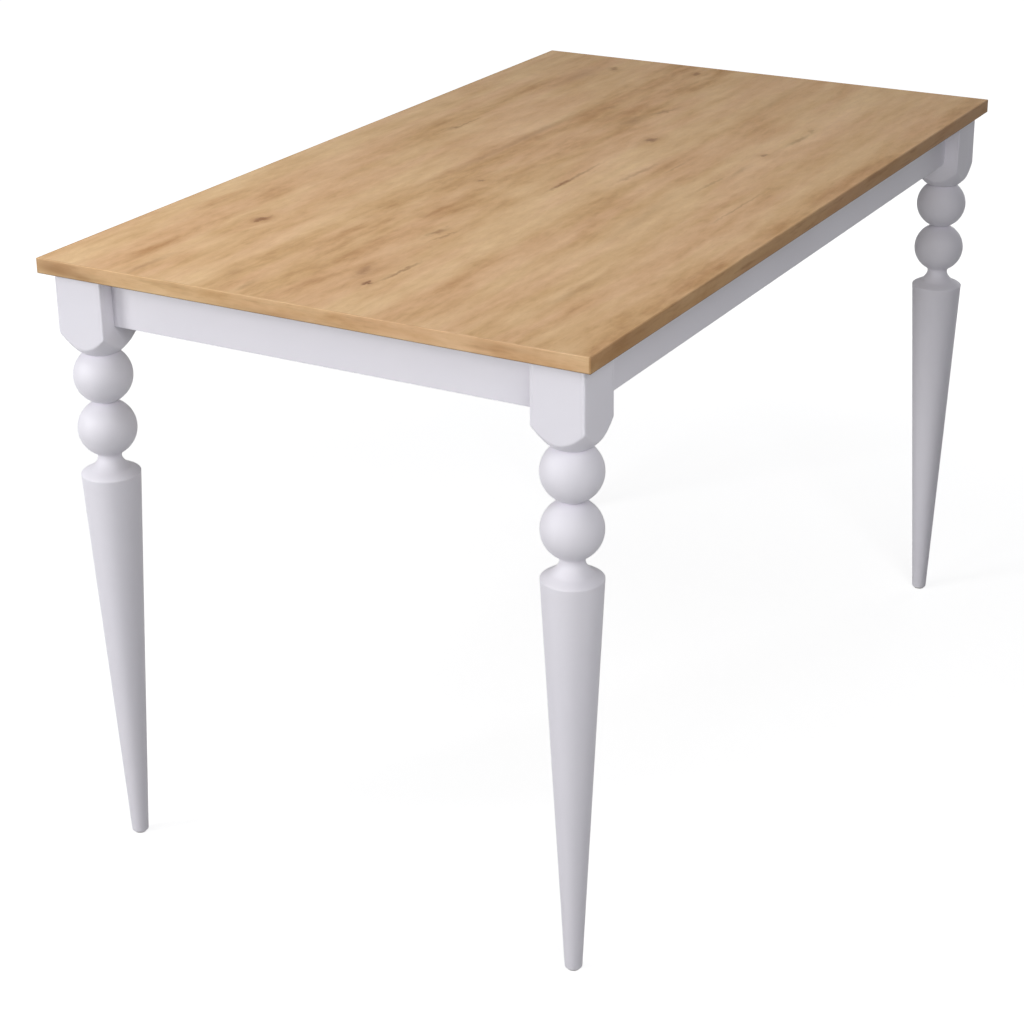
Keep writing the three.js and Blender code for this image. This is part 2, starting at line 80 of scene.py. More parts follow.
forward = Vector((
    math.cos(CAMERA_PITCH) * math.cos(CAMERA_YAW),
    math.cos(CAMERA_PITCH) * math.sin(CAMERA_YAW),
    math.sin(CAMERA_PITCH),
))
level = forward.cross(Vector((0, 0, 1))).normalized()
upright = level.cross(forward)
right = math.cos(CAMERA_ROLL) * level + math.sin(CAMERA_ROLL) * upright
up = -math.sin(CAMERA_ROLL) * level + math.cos(CAMERA_ROLL) * upright

lens = bpy.data.cameras.new("photo_camera")
lens.sensor_width = SENSOR_WIDTH
lens.lens = FOCAL_LENGTH
lens.shift_x, lens.shift_y = FRAME_SHIFT
camera = bpy.data.objects.new("photo_camera", lens)
bpy.context.scene.collection.objects.link(camera)
camera_axes = Matrix((right, up, -forward)).transposed().to_4x4()
camera.matrix_world = Matrix.Translation(CAMERA_PLACE) @ camera_axes
bpy.context.scene.camera = camera
bpy.context.scene.view_settings.view_transform = "Standard"
print("The camera stands", round(CAMERA_PLACE.z, 2), "m above the floor")

# %% [markdown]
# ## A way to write finishes
# A finish is a graph of shader nodes. It could be wired node by node, which hides the idea behind dozens of
# lines. Here an output socket is wrapped so that plus, minus, times and power add Math nodes, and one method
# adds every other node: its settings go in first, because they decide which sockets the node has.
# %% Wires and finishes
class Wire:
    """The output of a node. Sums with it add Math nodes."""

    def __init__(self, maker, socket):
        self.maker = maker
        self.socket = socket

    def __add__(self, other):
        return self.maker.math("ADD", self, other)

    def __sub__(self, other):
        return self.maker.math("SUBTRACT", self, other)

    def __rsub__(self, other):
        return self.maker.math("SUBTRACT", other, self)

    def __mul__(self, other):
        return self.maker.math("MULTIPLY", self, other)

    def __pow__(self, other):
        return self.maker.math("POWER", self, other)

    __radd__ = __add__
    __rmul__ = __mul__


class Finish:
    """The nodes of one material or world."""

    def __init__(self, owner):
        owner.use_nodes = True
        self.owner = owner
        self.tree = owner.node_tree
        self.tree.nodes.clear()

    def add(self, kind, settings=None, sockets=None):
        """Any node. Returns its outputs by name."""
        node = self.tree.nodes.new("ShaderNode" + kind)
        for name, value in (settings or {}).items():
            if name == "stops":
                ramp = node.color_ramp
                for place, _ in value[2:]:
                    ramp.elements.new(place)
                for element, (place, shade) in zip(ramp.elements, sorted(value)):
                    element.position, element.color = place, shade
            else:
                setattr(node, name, value)
        for name, value in (sockets or {}).items():
            socket = node.inputs[name] if isinstance(name, int) else next(
                entry for entry in node.inputs if entry.enabled and entry.name == name)
            if isinstance(value, Wire):
                self.tree.links.new(value.socket, socket)
            else:
                socket.default_value = value
        return {entry.name: Wire(self, entry) for entry in node.outputs if entry.enabled}

    def math(self, operation, *values, clamp=False):
        """A Math node on wires or numbers."""
        settings = {"operation": operation, "use_clamp": clamp}
        return self.add("Math", settings, dict(enumerate(values)))["Value"]

    def fade(self, value, low, high, start=0, end=1):
        """value eased from start at low to end at high."""
        settings = {"interpolation_type": "SMOOTHSTEP"}
        sockets = {"Value": value, "From Min": low, "From Max": high, "To Min": start, "To Max": end}
        return self.add("MapRange", settings, sockets)["Result"]

    def blend(self, share, first, second, way="MIX"):
        """Two colours mixed by a share."""
        settings = {"data_type": "RGBA", "blend_type": way}
        return self.add("Mix", settings, {"Factor": share, "A": first, "B": second})["Result"]

    def place(self):
        """Object coordinates as three wires, in metres."""
        parts = self.add("SeparateXYZ", {}, {"Vector": self.add("TexCoord")["Object"]})
        return parts["X"], parts["Y"], parts["Z"]

    def vector(self, x, y, z=0):
        """Three wires or numbers as one vector."""
        return self.add("CombineXYZ", {}, {"X": x, "Y": y, "Z": z})["Vector"]

    def noise(self, x, y, z, detail=2, roughness=0.5):
        """Cloudy noise with about one lump in each unit, so x * 7 has seven lumps in a metre."""
        sockets = {"Vector": self.vector(x, y, z), "Scale": 1, "Detail": detail, "Roughness": roughness}
        return self.add("TexNoise", {}, sockets)["Fac"]

    def bump(self, height, strength, depth):
        """A normal from a height, with a depth in millimetres."""
        sockets = {"Strength": strength, "Distance": depth * MM, "Height": height}
        return self.add("Bump", {}, sockets)["Normal"]

    def surface(self, **sockets):
        """The shader and the output. Names are written with _ for a space."""
        named = {name.replace("_", " "): value for name, value in sockets.items()}
        shader = self.add("BsdfPrincipled", {}, named)["BSDF"]
        self.add("OutputMaterial", {}, {"Surface": shader})
        return self.owner


def colour(red, green, blue):
    """A shader colour from the 0 to 255 numbers of a colour chart."""
    def linear(value):
        value /= 255
        return value / 12.92 if value <= 0.04045 else ((value + 0.055) / 1.055) ** 2.4
    return linear(red), linear(green), linear(blue), 1


print("The colour 188, 188, 188 of a chart reflects", round(colour(188, 188, 188)[0], 2), "of the light")

# %% [markdown]
# ## White satin paint
# Legs and aprons are sprayed a cool white with a slight lavender cast. A plain colour would look like plastic
# film. Sprayed paint has a faint orange peel that breaks up its sheen, the gloss wanders a little over the
# piece, and the coat is a touch thinner and warmer in places. Its specular level is below a gloss paint's,
# because satin paint on a turned ball shows a soft glow and no sharp spot.
# %% White satin paint
PAINT_SHEEN = 0.3
PAINT_ROUGHNESS = (0.42, 0.54)
PAINT_TINTS = (colour(234, 232, 240), colour(241, 238, 244))
PEEL_DEPTH = 0.04


def white_paint():
    """Sprayed paint: clouds in tint and gloss, a fine peel and longer, softer sags."""
    make = Finish(bpy.data.materials.new("white satin paint"))
    x, y, z = make.place()
    clouds = make.noise(x * 7, y * 7, z * 5, detail=3)
    peel = make.noise(x * 420, y * 420, z * 420)
    sags = make.noise(x * 60, y * 60, z * 14)
    return make.surface(
        Base_Color=make.blend(clouds, *PAINT_TINTS),
        Roughness=make.fade(clouds, 0.3, 0.7, *PAINT_ROUGHNESS),
        Specular_IOR_Level=PAINT_SHEEN,
        Normal=make.bump(peel + sags * 0.6, 0.35, PEEL_DEPTH),
    )


paint = white_paint()
print("The paint has", len(paint.node_tree.nodes), "nodes")

# %% [markdown]
# ## From a bmesh to a finished piece
# Every new piece stands for nodes of the measured model and rides on the table's one body. Its object stays at
# the origin, and its place is in its mesh. Rounded parts shade smoothly and real corners stay crisp, so edges
# sharper than a set angle are marked.
# %% Finished pieces
CRISP = math.radians(50)


def finished(name, form, finish, slot, *nodes):
    """Makes a bmesh a piece that stands for nodes of the measured model."""
    bmesh.ops.recalc_face_normals(form, faces=form.faces)
    for face in form.faces:
        face.smooth = True
    mesh = bpy.data.meshes.new(name)
    form.to_mesh(mesh)
    form.free()
    mesh.set_sharp_from_angle(angle=CRISP)
    mesh.materials.append(finish)
    piece = bpy.data.objects.new(name, mesh)
    bpy.context.scene.collection.objects.link(piece)
    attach(piece, "root")
    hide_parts(*nodes)
    return piece


def keep_flats_flat(piece):
    """Large flat faces lead the shading beside small rounded arrises."""
    piece.modifiers.new("flat faces lead", "WEIGHTED_NORMAL").keep_sharp = True


print("Corners sharper than", round(math.degrees(CRISP)), "degrees stay crisp")

# %% [markdown]
# ## Turning
# A turned part is one outline spun about its axis, as on a lathe. The outline is a chain of vertices in radius
# and height. Where it touches the axis, the spin leaves a ring of points on one spot, so doubles are merged
# and the poles close.
# %% Turning
SAME_POINT = 0.001 * MM


def curve(start, pull, end, steps):
    """Points from start to end, drawn towards a third point."""
    shares = [step / steps for step in range(steps + 1)]
    return [start.lerp(pull, share).lerp(pull.lerp(end, share), share) for share in shares]


def arc(centre, radius, start, end, steps):
    """Points on a circle between two angles from the outline's radius axis."""
    angles = [start + (end - start) * step / steps for step in range(steps + 1)]
    return [centre + radius * Vector((math.cos(angle), math.sin(angle))) for angle in angles]


def turned(outline, segments):
    """The outline, given as radii and heights in millimetres, spun to a closed form."""
    form = bmesh.new()
    chain = [form.verts.new((at.x * MM, 0, at.y * MM)) for at in outline]
    edges = [form.edges.new(pair) for pair in zip(chain, chain[1:])]
    bmesh.ops.spin(form, geom=chain + edges, cent=(0, 0, 0), axis=(0, 0, 1), angle=2 * math.pi,
                   steps=segments, use_merge=True, use_duplicate=False)
    bmesh.ops.remove_doubles(form, verts=form.verts, dist=SAME_POINT)
    return form


print("A lathe outline of", len(arc(Vector((0, 0)), 1, 0, 1, 8)), "points makes one bead")

# %% [markdown]
# ## Square blocks on round stock
# A leg starts as a square blank, and the lathe leaves the block at its head square. The curved line where the
# turned shoulder runs into the flat faces is what the eye looks for. It could be cut with a Boolean or with
# bisecting planes, but then its edge is razor sharp, and a bevel fails on the tiny edges along the curve. So
# the blank is spun with many rings and its points are pressed in to the bar's flats. Where shoulder and flat
# meet, the nearer one wins gradually, over the width of a coat of paint.
# %% Pressing a turned form onto a bar
CROWDING = 0.7


def bar_radius(angle, sides, half, arris):
    """How far a bar's surface is from its axis in a direction."""
    part = 2 * math.pi / sides
    turn = abs((angle + part / 2) % part - part / 2)
    flat = half / math.cos(turn)
    corner = (half - arris) / math.cos(part / 2)
    away = part / 2 - turn
    inside = corner * math.cos(away)
    rounded = inside + math.sqrt(max(arris ** 2 - (corner * math.sin(away)) ** 2, 0))
    return min(flat, rounded) if flat * math.cos(away) > corner else flat


def nearer(first, second, width):
    """The smaller of two distances, eased where they are alike."""
    likeness = max(width - abs(first - second), 0) / width
    return min(first, second) - likeness ** 2 * width / 4


def press(form, sides, limit, above, crowding=CROWDING):
    """Moves the points above a height in to a limit, and crowds them towards the bar's corners."""
    for vert in form.verts:
        radius = math.hypot(vert.co.x, vert.co.y)
        angle = math.atan2(vert.co.y, vert.co.x)
        angle += crowding / sides * math.sin(sides * angle)
        height = vert.co.z / MM
        if height > above and radius > 0:
            radius = limit(radius / MM, angle, height) * MM
        vert.co.x, vert.co.y = radius * math.cos(angle), radius * math.sin(angle)


print("A 64 mm bar reaches", round(bar_radius(math.pi / 4, 4, 32, 2), 1), "mm into its rounded corners")

# %% [markdown]
# ## The legs
# From the floor up, a leg is a foot with a small arris, a long straight taper, a rounded rim, a collar that
# slopes in to a cove and a thin neck, two balls, and a shoulder that opens out into the block. Each form could
# be a primitive of its own, but the joints between them would show. A turner reads one profile off a
# template, so the profile is drawn once, in real millimetres.
# %% The outline of a leg
UNDERSIDE = 732
APRON_BOTTOM = 671
BLOCK_BOTTOM = 661
SHOULDER_BOTTOM = 634
HALF_BLOCK = 32
SHOULDER_PULL = Vector((24.1, 630.2))
NECK_RADII = {"shoulder": 17.7, "balls": 10.8, "lower": 15.4}
BALL_RADIUS = 34.25
RIM = Vector((34.6, 483.4))
RIM_PULL = Vector((34.7, 484.9))
COVE_LIP = Vector((23.4, 489.8))
COVE_PULL = Vector((10, 500.6))
FOOT_RADIUS = 10.1
FOOT_ARRIS = 2.5
GLIDE_THICKNESS = 2
BLANK_SPARE = 1
CHAMFER_STEP = 0.05
TAPER_RINGS = (0.01, 0.25, 0.5, 0.75, 0.99)
STEPS = {"foot": 6, "rim": 18, "cove": 14, "ball": 26, "shoulder": 40}


def rise(neck):
    """How far above or below a ball's middle a neck of that radius cuts it."""
    return math.sqrt(BALL_RADIUS ** 2 - neck ** 2)


def ball(middle, low, high):
    """A ball's outline between the necks below and above it."""
    start, end = -math.atan2(rise(low), low), math.atan2(rise(high), high)
    return arc(Vector((0, middle)), BALL_RADIUS, start, end, STEPS["ball"])


def leg_outline():
    """The profile from the middle of the foot to the middle of the block's top."""
    shoulder, balls, neck = NECK_RADII["shoulder"], NECK_RADII["balls"], NECK_RADII["lower"]
    upper = SHOULDER_BOTTOM - rise(shoulder)
    lower = upper - 2 * rise(balls)
    corner = HALF_BLOCK * math.sqrt(2)
    blank = corner + BLANK_SPARE
    foot = Vector((FOOT_RADIUS, GLIDE_THICKNESS + FOOT_ARRIS))
    shoulder_start, shoulder_end = Vector((shoulder, SHOULDER_BOTTOM)), Vector((corner, BLOCK_BOTTOM))
    return [
        Vector((0, GLIDE_THICKNESS)),
        *arc(foot - Vector((FOOT_ARRIS, 0)), FOOT_ARRIS, -math.pi / 2, 0, STEPS["foot"]),
        *[foot.lerp(RIM, share) for share in TAPER_RINGS],
        *curve(RIM, RIM_PULL, COVE_LIP, STEPS["rim"]),
        *curve(COVE_LIP, COVE_PULL, Vector((neck, lower - rise(neck))), STEPS["cove"])[1:],
        *ball(lower, neck, balls)[1:],
        *ball(upper, balls, shoulder)[1:],
        *curve(shoulder_start, SHOULDER_PULL, shoulder_end, STEPS["shoulder"])[1:],
        Vector((blank, BLOCK_BOTTOM + BLANK_SPARE)),
        Vector((blank, APRON_BOTTOM - CHAMFER_STEP)),
        Vector((blank, APRON_BOTTOM + CHAMFER_STEP)),
        Vector((blank, UNDERSIDE)),
        Vector((0, UNDERSIDE)),
    ]


print("The leg's outline has", len(leg_outline()), "points")

# %% [markdown]
# ## From one leg to four
# The block's inner corner is sawn off behind the aprons, which makes a flat seat for the bolt. It could be
# cut with a plane, but the points are pressed anyway, so the sawn face is one more limit for them. One leg
# is made on the axis, and each corner of the table gets a copy with its own quarter turn.
# %% Four legs
CORNERS = ("front_left", "front_right", "back_right", "back_left")
LEG_SEGMENTS = 192
BLOCK_ARRIS = 2
CHAMFER_FACE = 36.77
PAINTED_EDGE = 1.2


def block_limit(radius, angle, height):
    """The turned shoulder or the sawn block, whichever is nearer the axis."""
    block = bar_radius(angle, 4, HALF_BLOCK, BLOCK_ARRIS)
    if height > APRON_BOTTOM:
        inward = math.cos(angle - math.pi / 4)
        if inward > 0:
            block = min(block, CHAMFER_FACE / inward)
    return nearer(radius, block, PAINTED_EDGE)


def in_corner(form, corner):
    """Turns a form made on the axis of a leg into its corner of the table."""
    low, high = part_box("leg_" + corner)
    turn = Matrix.Rotation(CORNERS.index(corner) * math.pi / 2, 4, "Z")
    axis = Vector(((low[0] + high[0]) / 2, (low[1] + high[1]) / 2, 0))
    bmesh.ops.transform(form, matrix=Matrix.Translation(axis) @ turn, verts=form.verts)
    return form


leg = turned(leg_outline(), LEG_SEGMENTS)
press(leg, 4, block_limit, SHOULDER_BOTTOM)
for corner in CORNERS:
    placed = in_corner(leg.copy(), corner)
    piece = finished("turned_leg_" + corner, placed, paint, "white_paint", "leg_" + corner)
print("Each leg has", len(piece.data.polygons), "faces")

# %% [markdown]
# ## The aprons
# An apron is a plain board, but its sawn edges are eased with a small arris that catches the light. Its kerfs
# and bores are already right in the measured model. So a copy of that mesh is merged and its flat triangles
# are dissolved to whole faces, and then only its long edges are bevelled.
# %% Four aprons
SIDES = ("front", "right", "back", "left")
APRON_ARRIS = 1
LONG_EDGE = 200
MERGED_POINT = 0.01 * MM
FLAT = math.radians(0.5)


def merged_copy(node):
    """The measured mesh of a node with shared points and whole flat faces."""
    form = bmesh.new()
    form.from_mesh(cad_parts[node].data)
    bmesh.ops.remove_doubles(form, verts=form.verts, dist=MERGED_POINT)
    bmesh.ops.dissolve_limit(form, angle_limit=FLAT, verts=form.verts, edges=form.edges)
    return form


def ease(form, edges, width, segments):
    """Rounds edges over with a bevel."""
    bmesh.ops.bevel(form, geom=edges, offset=width * MM, offset_type="OFFSET", affect="EDGES",
                    segments=segments, profile=0.5, clamp_overlap=True, material=-1)


for side in SIDES:
    apron = merged_copy("apron_" + side)
    corners = [edge for edge in apron.edges if edge.calc_face_angle(0) > CRISP]
    ease(apron, [edge for edge in corners if edge.calc_length() > LONG_EDGE * MM], APRON_ARRIS, 3)
    piece = finished("painted_apron_" + side, apron, paint, "white_paint", "apron_" + side)
    keep_flats_flat(piece)
print("Each apron has", len(piece.data.polygons), "faces")

# %% [markdown]
# ## The marks of the oak
# The top is a soft, golden oak with its grain along the table. Noise alone gives any wood. This one is
# recognised by its small knots, its smudges and the cracks that run with the grain, so those are placed one
# by one. A mark is an oval: where it is along and across the top from the middle, its half length and half
# width, all in millimetres, its tilt in degrees, and its strength.
# %% Knots, smudges and cracks
KNOTS = [
    (180, -29, 12, 7, 0, 0.6),
    (-359, 214, 11, 6, -15, 0.65),
    (-96, 69, 6, 4, 0, 0.5),
    (-504, -28, 6, 5, 0, 0.8),
    (555, 82, 8, 5, 0, 0.5),
    (175, -193, 6, 4, -20, 0.45),
]
SMUDGES = [
    (-467, 0, 17, 7, 12, 0.7),
    (-307, 4, 18, 6, -10, 0.6),
    (-570, 83, 14, 5, 0, 0.5),
    (-565, 224, 40, 5, 0, 0.35),
    (-535, 124, 22, 8, 12, 0.25),
    (119, 235, 12, 5, 0, 0.65),
    (466, 229, 46, 14, 0, 0.55),
    (527, 205, 12, 7, 30, 0.65),
    (77, 124, 170, 7, 0, 0.4),
    (260, 39, 26, 10, 0, 0.65),
    (325, 24, 22, 5, -20, 0.6),
    (311, 102, 16, 5, -15, 0.45),
    (264, -202, 34, 4, -2, 0.6),
    (321, -198, 10, 4, 35, 0.5),
    (86, -197, 30, 4, 3, 0.45),
    (-472, -14, 60, 12, 0, 0.15),
    (-150, -180, 90, 8, 4, 0.2),
    (-420, -240, 60, 6, -4, 0.25),
    (440, -90, 80, 8, 3, 0.2),
]
CRACKS = [
    (-30, -26, 70, 2.8, 1, 0.42),
    (-64, -27, 26, 3.4, 0, 0.42),
    (26, -87, 50, 4, -4, 0.32),
    (-452, -38, 38, 2.8, -3, 0.55),
    (150, 233, 34, 2, 0, 0.4),
    (72, -118, 40, 2, 0, 0.25),
    (24, -190, 36, 2, -3, 0.3),
    (-56, -262, 72, 1.8, 0, 0.3),
    (-318, -12, 30, 2, -8, 0.35),
]
print(len(KNOTS), "knots,", len(CRACKS), "cracks and", len(SMUDGES), "smudges are placed by hand")

# %% [markdown]
# ## Broad bands
# From a few steps away, a board reads as light and dark bands along its grain. Noise would put them anywhere,
# and the eye compares them first. So they are marks as well: some run over the full length of the board, and
# others fade in and out within it. A negative strength makes a dark band. The light band along the front edge
# is painted light, not grain.
# %% Broad bands
FULL_LENGTH = 900
FULL_BANDS = [
    # across, half width, strength
    (318, 30, 0.8),
    (298, 16, 0.8),
    (246, 24, -1.5),
    (146, 18, 1.1),
    (103, 15, -0.9),
    (34, 30, -0.85),
    (-48, 22, 1.1),
    (-102, 13, -0.95),
    (-134, 12, 0.8),
    (-172, 16, 0.7),
    (-205, 34, 0.9),
    (-235, 10, 0.5),
    (-272, 12, -0.5),
    # Painted light: brightens the strip along the front edge, which the lamps leave dimmer.
    (-290, 36, 0.6),
    (-340, 14, -1.3),
]
SHORT_BANDS = [
    # along, across, half length, half width, strength
    (-530, 300, 90, 16, 0.8),
    (-530, 258, 90, 10, -0.7),
    (-560, 229, 60, 14, -0.5),
    (-560, 100, 60, 12, -0.9),
    (-560, 70, 60, 10, 1.2),
    (-560, -166, 60, 12, 1),
    (-170, 64, 150, 24, 1),
    (140, 290, 150, 12, 0.8),
    (140, 240, 150, 10, -0.6),
    (140, 135, 150, 8, 0.7),
    (140, 48, 150, 12, 0.6),
    (140, -282, 150, 14, -0.8),
    (430, 127, 160, 9, 0.8),
    (430, 77, 160, 9, -0.6),
    (430, 16, 160, 12, -1.2),
]
BANDS = [(0, across, FULL_LENGTH, width, 0, strength) for across, width, strength in FULL_BANDS]
BANDS += [(along, across, length, width, 0, strength) for along, across, length, width, strength in SHORT_BANDS]
print(len(BANDS), "broad bands give the board its rhythm")

# %% [markdown]
# ## Drawing a mark
# An oval mark could be an image, but then it has a size in pixels. A Mapping node of the texture kind moves,
# turns and shrinks space until the oval is a unit circle, and a bell curve of the distance fades it out.
# %% Drawing marks
def spots(make, board, marks, edge=1):
    """A wire for each mark, with its strength in its middle. A higher edge is a crisper one."""
    shares = []
    for along, across, length, width, tilt, strength in marks:
        place = {
            "Vector": board,
            "Location": (along * MM, across * MM, 0),
            "Rotation": (0, 0, math.radians(tilt)),
            "Scale": (length * MM, width * MM, 1),
        }
        local = make.add("Mapping", {"vector_type": "TEXTURE"}, place)["Vector"]
        reach = make.add("VectorMath", {"operation": "DOT_PRODUCT"}, {0: local, 1: local})["Value"]
        shares.append(make.math("EXPONENT", reach ** edge * -1) * strength)
    return shares


def grown(mark, longer, wider, strength):
    """A mark made longer and wider about its middle, with a new strength."""
    along, across, length, width, tilt, _ = mark
    return along, across, length * longer, width * wider, tilt, strength


def total(wires):
    """The sum of several wires."""
    result = wires[0]
    for wire in wires[1:]:
        result = result + wire
    return result


print("A ring three times as long as a knot:", grown(KNOTS[0], 3, 1, 1)[2], "mm")

# %% [markdown]
# ## Oak
# Oak is layers of one drawing at several scales: bands, patches, streaks, veins and fibres, each a noise that
# is far longer along the grain than across it. Their sum runs through a colour ramp. The lines wander as in a
# grown tree and bend round each knot, because every layer reads the same bent place across the grain. The
# ground drifts a little between a golden and a rosier tone, and short dark pores and the marks lie on top.
# %% Oak
# Lumps in a metre along and across the grain, roughness of the noise, and share of the tone
LAYERS = {
    "bands": (0.6, 14, 0.5, 0.28),
    "patches": (10, 34, 0.4, 0.24),
    "streaks": (14, 80, 0.5, 0.16),
    "veins": (50, 130, 0.5, 0.14),
    "fibres": (120, 420, 0.5, 0.05),
}
TONE_LIFT = 0.065
BAND_CONTRAST = 0.046
SHADES = [(0.34, colour(185, 163, 127)), (0.47, colour(225, 217, 205)), (0.64, colour(251, 255, 255))]
OAK = {
    "golden": colour(238, 201, 156),
    "rosy": colour(240, 200, 159),
    "pore": colour(138, 100, 68),
    "smudge": colour(140, 97, 58),
    "crack": colour(128, 78, 38),
    "halo": colour(158, 108, 68),
    "knot": colour(112, 68, 34),
}
OAK_ROUGHNESS = (0.56, 0.66)


def grain_flow(make, board, along, across, depth, marks):
    """The place across the grain once its lines wander, and bend round each knot."""
    wander = make.noise(along * 1.3, across * 5, depth * 5) - 0.5
    ripple = make.noise(along * 9, across * 30, depth * 30) - 0.5
    flow = across + wander * 0.03 + ripple * 0.006
    if marks:
        rings = [grown(knot, 3, 4, 0.6) for knot in KNOTS]
        for near, (_, middle, *_) in zip(spots(make, board, rings), KNOTS):
            flow = flow - (across - middle * MM) * near
    return flow


def marked(make, tint, board, patches):
    """The colour with smudges, cracks and knots on it."""
    smudge = make.math("MULTIPLY", total(spots(make, board, SMUDGES)), patches * 1.7, clamp=True)
    tint = make.blend(smudge, tint, OAK["smudge"])
    tint = make.blend(total(spots(make, board, CRACKS, edge=1.5)), tint, OAK["crack"])
    halos = [grown(knot, 1.8, 1.8, knot[-1] * 0.45) for knot in KNOTS]
    tint = make.blend(total(spots(make, board, halos)), tint, OAK["halo"])
    return make.blend(total(spots(make, board, KNOTS, edge=1.7)), tint, OAK["knot"])


def oak_pattern(make, along, across, depth, marks):
    """Colour, roughness and height of oak at a place along, across and into the grain."""
    wobble = make.noise(along * 90, across * 160, depth) - 0.5
    board = make.vector(along + wobble * 0.03, across + wobble * 0.008)
    flow = grain_flow(make, board, along, across, depth, marks)
    layers = {name: make.noise(along * length, flow * width, depth * width, roughness=roughness)
              for name, (length, width, roughness, share) in LAYERS.items()}
    tone = total([layers[name] * share for name, (*_, share) in LAYERS.items()]) + TONE_LIFT
    if marks:
        tone = tone + total(spots(make, make.vector(along, flow), BANDS)) * BAND_CONTRAST
    rosy = make.fade(make.noise(along * 3 + 7, flow * 20, depth * 20), 0.4, 0.62)
    tint = make.blend(rosy, OAK["golden"], OAK["rosy"])
    shade = make.add("ValToRGB", {"stops": SHADES}, {"Fac": tone})["Color"]
    tint = make.blend(1.0, tint, shade, way="MULTIPLY")
    pores = make.fade(make.noise(along * 60, flow * 1100, depth * 1100, detail=1), 0.6, 0.74)
    tint = make.blend(pores * 0.15, tint, OAK["pore"])
    if marks:
        tint = marked(make, tint, board, layers["patches"])
    roughness = make.fade(layers["veins"], 0.3, 0.7, *OAK_ROUGHNESS)
    return tint, roughness, layers["veins"] * 0.5 - pores


print("The layers carry", round(sum(layer[-1] for layer in LAYERS.values()), 2), "of the tone")

# %% [markdown]
# ## The board
# The measured board is already the right shape, so it keeps its mesh and gets the oak. Nobody faces the
# underside of such a board with its best side: it has a plain pale balancing sheet. The height of a point
# tells the two apart, and the edge bands cover the change.
# %% The board
OAK_SHEEN = 0.18
SHEET_TINTS = (colour(214, 205, 190), colour(224, 216, 203))
SHEET_TOP = (UNDERSIDE + 4) * MM
OAK_START = (UNDERSIDE + 6) * MM


def board_finish():
    """Oak on the top and a plain sheet below."""
    make = Finish(bpy.data.materials.new("oak decor"))
    x, y, z = make.place()
    tint, roughness, height = oak_pattern(make, x, y, z, marks=True)
    fleck = make.noise(x * 260, y * 260, z, detail=3)
    sheet = make.blend(make.fade(fleck, 0.35, 0.65), *SHEET_TINTS)
    topside = make.fade(z, SHEET_TOP, OAK_START)
    return make.surface(
        Base_Color=make.blend(topside, sheet, tint),
        Roughness=roughness,
        Specular_IOR_Level=OAK_SHEEN,
        Normal=make.bump(height * topside, 0.25, 0.05),
    )


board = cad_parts["top_board"]
board.data.materials.clear()
board.data.materials.append(board_finish())
print("The oak has", len(board.data.materials[0].node_tree.nodes), "nodes")

# %% [markdown]
# ## The finish of the edge bands
# Each edge of the board is covered with a 2 mm band in the same decor. It is cut from another part of the
# print, so the board's marks don't run over it, and it has a few dark stretches of its own. They are drawn
# as the marks are, along the band and in height. The bands on the long sides carry painted shade: a larger
# share of the dark tone all along them, and one broad dark stretch over about half their length. The lowest
# millimetre or two of every band is darkened too, painted shade for its lower edge, which faces down.
# %% The finish of the edge bands
BAND_SHADE = colour(146, 104, 62)
# Painted shade along the lower edge of every band: its colour, where it starts and ends, and its share.
LOWER_EDGE_SHADE = colour(96, 76, 50)
LOWER_EDGE_SHADE_START = (UNDERSIDE + 0.3) * MM
LOWER_EDGE_SHADE_END = (UNDERSIDE + 1.8) * MM
LOWER_EDGE_SHADE_SHARE = 0.75
LONG_BAND_MARKS = [
    (-510, 741, 80, 14, 0, 0.5),
    (-180, 738, 60, 5, 0, 0.25),
    # Painted shade: a broad darkening of the long bands over about half their length.
    (260, 741, 320, 30, 0, 0.38),
]
SHORT_BAND_MARKS = [
    (326, 741, 32, 9, 0, 0.7),
    (286, 736, 26, 5, 0, 0.45),
    (-250, 744, 40, 3, 0, 0.3),
    (40, 735, 60, 3, 0, 0.3),
]


def band_finish(name, turn, shade, mottling, marks):
    """Oak along X, or along Y after a quarter turn, with a fixed share of painted shade, and more dark tone
    where mottled.
    """
    make = Finish(bpy.data.materials.new(name))
    x, y, z = make.place()
    along, across = (y, x) if turn else (x, y)
    tint, roughness, height = oak_pattern(make, along, across, z, marks=False)
    mottle = make.fade(make.noise(along * 16, 5, z * 120, detail=3), 0.5, 0.75)
    # Painted shade: a fixed share of the dark tone, larger on the long bands. The mottled share is the wood's
    # own.
    tint = make.blend(mottle * mottling + shade, tint, BAND_SHADE)
    tint = make.blend(total(spots(make, make.vector(along, z), marks)), tint, BAND_SHADE)
    # Painted shade: the band darkens towards its lower edge.
    lower_edge_shade = make.fade(z, LOWER_EDGE_SHADE_START, LOWER_EDGE_SHADE_END, LOWER_EDGE_SHADE_SHARE, 0)
    return make.surface(
        Base_Color=make.blend(lower_edge_shade, tint, LOWER_EDGE_SHADE),
        Roughness=roughness,
        Specular_IOR_Level=OAK_SHEEN,
        Normal=make.bump(height, 0.2, 0.04),
    )


band_finishes = [
    # The long bands take a larger fixed share of the dark tone, which is painted shade.
    band_finish("oak band along the length", False, 0.34, 0.5, LONG_BAND_MARKS),
    band_finish("oak band along the width", True, 0.04, 0.3, SHORT_BAND_MARKS),
]
print(len(band_finishes), "finishes serve the long and the short bands")

# %% [markdown]
# ## The edge bands
# A band's outer edges are rounded over when it is trimmed. A band is a box with bevelled outer edges. At the
# table's four corners the end of the long band shows, so the edges round that end are bevelled too and the
# arris runs round the corner without a break.
# %% Four edge bands
BAND_ARRIS = 1
SEAM = 0.01 * MM


